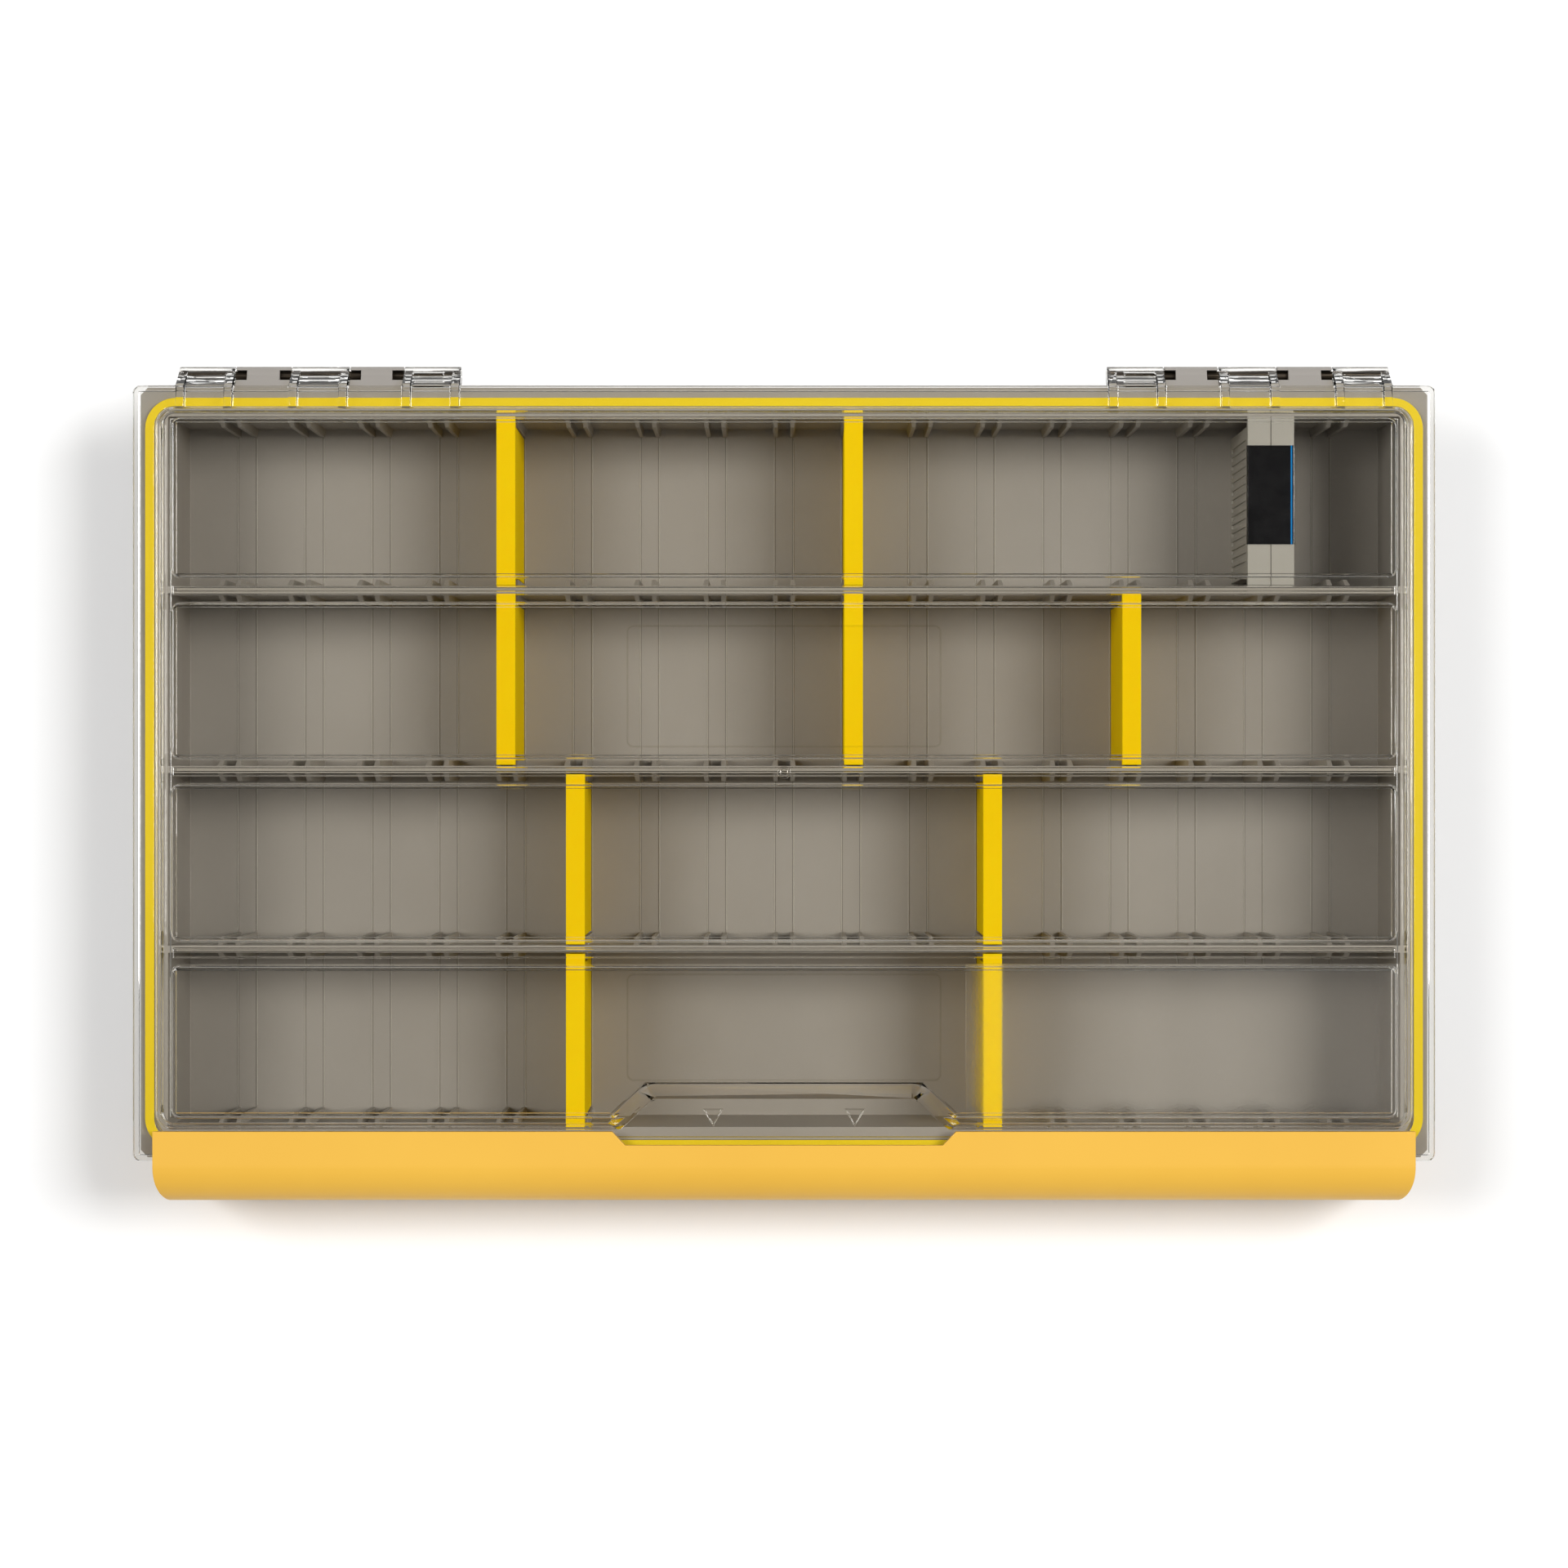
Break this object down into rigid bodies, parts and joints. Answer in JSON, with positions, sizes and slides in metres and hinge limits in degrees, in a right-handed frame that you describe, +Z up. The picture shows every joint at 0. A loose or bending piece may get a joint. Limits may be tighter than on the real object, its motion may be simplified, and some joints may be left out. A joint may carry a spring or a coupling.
{
  "type": "compartment utility box",
  "caption": "Shallow waterproof box with a clear pinned lid, gasket, full-width front latch and slotted compartments with loose dividers.",
  "frame": {"origin": "on the ground under the middle of the shut box's outline, latch and hinges included", "axes": "+X along the box's length, +Y towards the hinges, +Z up"},
  "size_m": [0.3588, 0.2316, 0.0508],
  "materials": {
    "tray_grey": "satin moulded polypropylene",
    "clear_lid": "clear gloss moulding, a faint warm tint",
    "gasket_yellow": "smooth soft rubber",
    "latch_orange": "satin",
    "steel_pin": "drawn wire",
    "divider_yellow": "satin",
    "wick_grey": "satin",
    "absorbent": "pressed pad",
    "label_black": "printed film"
  },
  "bodies": {
    "base": {"base_tray": "tray_grey", "hinge_pin_left": "steel_pin", "hinge_pin_right": "steel_pin", "latch_pin_left": "steel_pin", "latch_pin_right": "steel_pin", "divider_row1_left": "divider_yellow", "divider_row1_middle": "divider_yellow", "divider_row2_left": "divider_yellow", "divider_row2_middle": "divider_yellow", "divider_row2_right": "divider_yellow", "divider_row3_left": "divider_yellow", "divider_row3_right": "divider_yellow", "divider_row4_left": "divider_yellow", "divider_row4_right": "divider_yellow", "wick_shell_left": "wick_grey", "wick_shell_right": "wick_grey", "wick_core": "absorbent", "wick_label": "label_black"},
    "lid": {"lid": "clear_lid", "lid_gasket": "gasket_yellow"},
    "latch": {"front_latch": "latch_orange"}
  },
  "joints": [
    {"name": "lid_hinge", "type": "hinge", "parent": "base", "child": "lid", "pos_m": [0, 0.1132, 0.037], "axis": [-1, 0, 0], "range_deg": [0, 180]},
    {"name": "latch_hinge", "type": "hinge", "parent": "base", "child": "latch", "pos_m": [0, -0.109, 0.0075], "axis": [1, 0, 0], "range_deg": [0, 90]}
  ]
}
